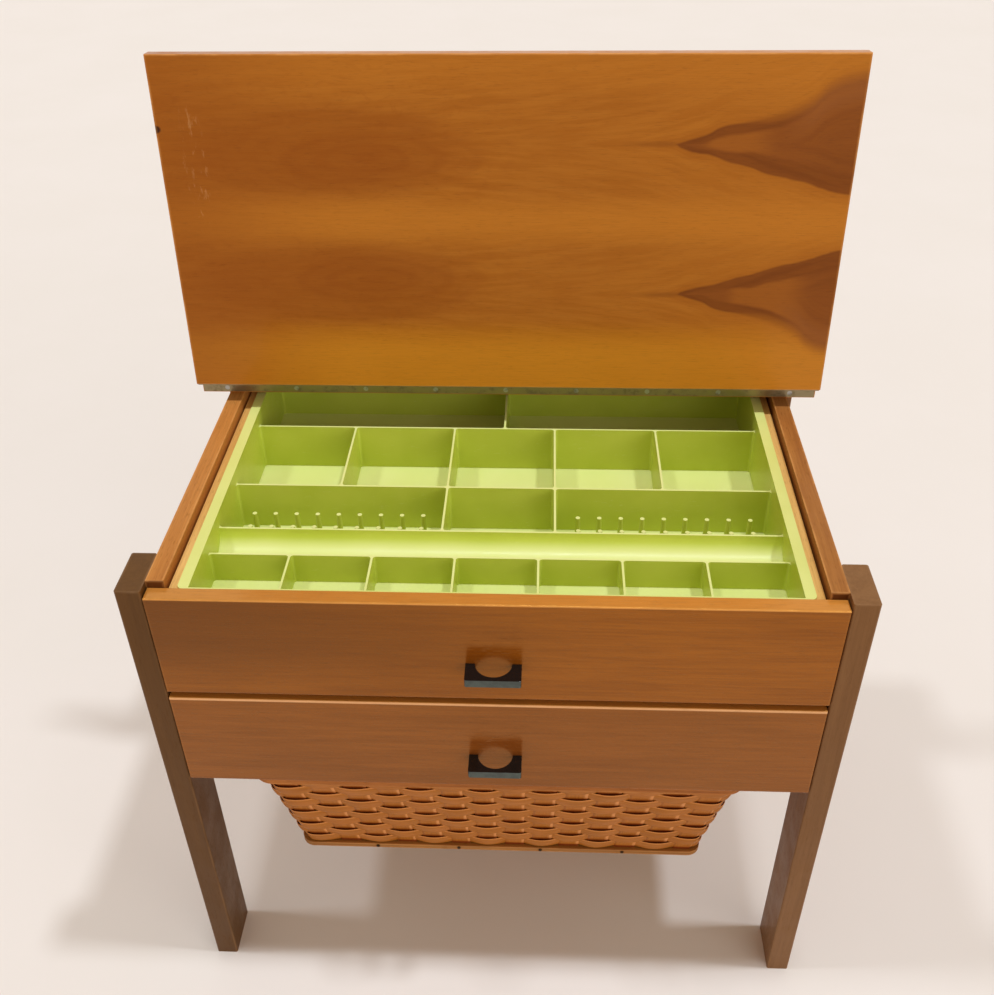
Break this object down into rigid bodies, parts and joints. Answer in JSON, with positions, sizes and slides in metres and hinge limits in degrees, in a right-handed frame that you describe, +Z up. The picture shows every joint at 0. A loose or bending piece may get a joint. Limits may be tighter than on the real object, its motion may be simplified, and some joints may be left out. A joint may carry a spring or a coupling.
{
  "type": "sewing cabinet",
  "caption": "Low sewing cabinet on board legs with a hinged lid, drawers with finger pulls, a moulded compartment tray and a woven basket hung beneath.",
  "frame": {"origin": "on the floor, under the middle of the outline's width and depth, with the lid raised as in the picture", "axes": "+X to the right seen from the front, +Y from the drawer fronts to the back, +Z up"},
  "size_m": [0.662, 0.474, 0.901],
  "materials": {
    "teak": "satin lacquered teak veneer",
    "lid_veneer": "glossy lacquered teak veneer",
    "leg_wood": "satin dark stained wood",
    "inner_wood": "plain oiled wood",
    "plywood": "raw plywood",
    "tray_plastic": "moulded, half gloss",
    "handle_plastic": "glossy black",
    "hinge_metal": "polished nickel plate",
    "screw_steel": "plated steel",
    "woven_splint": "woven flat splint, light lacquer",
    "basket_board": "thin board, light lacquer"
  },
  "bodies": {
    "case": {"front_left_leg": "leg_wood", "front_right_leg": "leg_wood", "rear_left_leg": "leg_wood", "rear_right_leg": "leg_wood", "left_side_panel": "teak", "right_side_panel": "teak", "back_panel": "plywood", "bottom_panel": "plywood", "rear_top_board": "lid_veneer", "leg_screws": "screw_steel", "back_panel_screws": "screw_steel", "top_board_dowels": "inner_wood", "upper_left_runner": "inner_wood", "upper_right_runner": "inner_wood", "lower_left_runner": "inner_wood", "lower_right_runner": "inner_wood", "runner_screws": "screw_steel", "left_basket_guide": "inner_wood", "right_basket_guide": "inner_wood", "basket_guide_screws": "screw_steel", "hinge_fixed_leaf": "hinge_metal", "hinge_pin": "hinge_metal", "hinge_fixed_screws": "screw_steel"},
    "lid": {"lid_panel": "lid_veneer", "hinge_lid_leaf": "hinge_metal", "hinge_lid_screws": "screw_steel"},
    "upper_drawer": {"upper_drawer_front": "teak", "upper_drawer_left_side": "inner_wood", "upper_drawer_right_side": "inner_wood", "upper_drawer_back": "inner_wood", "upper_drawer_bottom": "plywood", "upper_drawer_handle": "handle_plastic", "upper_handle_screws": "screw_steel", "sewing_tray": "tray_plastic"},
    "lower_drawer": {"lower_drawer_front": "teak", "lower_drawer_left_side": "inner_wood", "lower_drawer_right_side": "inner_wood", "lower_drawer_back": "inner_wood", "lower_drawer_bottom": "plywood", "lower_drawer_handle": "handle_plastic", "lower_handle_screws": "screw_steel"},
    "basket": {"basket_wall": "woven_splint", "basket_bottom_board": "basket_board", "basket_rim": "teak", "left_basket_slide": "inner_wood", "right_basket_slide": "inner_wood", "basket_nails": "screw_steel"}
  },
  "joints": [
    {"name": "lid_hinge", "type": "hinge", "parent": "case", "child": "lid", "pos_m": [0, 0.11425, 0.566], "axis": [1, 0, 0], "range_deg": [0, 95.6]},
    {"name": "upper_drawer_slide", "type": "slide", "parent": "case", "child": "upper_drawer", "axis": [0, -1, 0], "range_m": [0, 0.3]},
    {"name": "lower_drawer_slide", "type": "slide", "parent": "case", "child": "lower_drawer", "axis": [0, -1, 0], "range_m": [0, 0.3]},
    {"name": "basket_slide", "type": "slide", "parent": "case", "child": "basket", "axis": [0, -1, 0], "range_m": [0, 0.28]}
  ]
}
